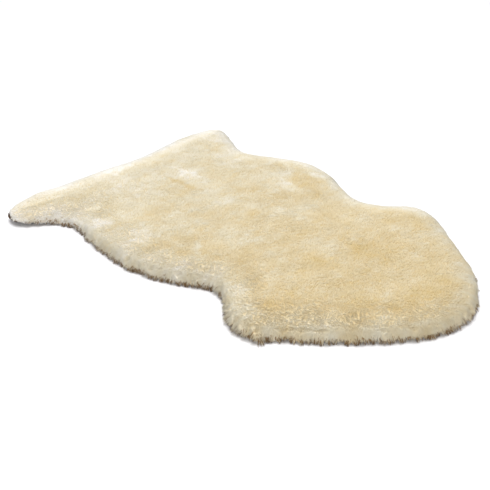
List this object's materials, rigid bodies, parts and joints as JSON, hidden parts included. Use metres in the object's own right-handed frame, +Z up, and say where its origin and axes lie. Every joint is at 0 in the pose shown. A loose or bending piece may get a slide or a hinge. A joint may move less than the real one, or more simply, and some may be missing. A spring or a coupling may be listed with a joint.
{
  "type": "sheepskin rug",
  "caption": "Single sheepskin rug in the outline of the pelt, laid flat with its dense cream wool up and its tanned hide down.",
  "frame": {"origin": "on the floor, under the middle of the rug's bounding box", "axes": "+X along the animal's back from the neck to the tail, +Y towards the animal's right side, +Z up, with the wool up"},
  "size_m": [1.015, 0.6878, 0.0431],
  "materials": {
    "fleece": "dense shorn wool, cream, soft satin sheen"
  },
  "bodies": {
    "root": {"sheepskin": "fleece"}
  },
  "joints": []
}
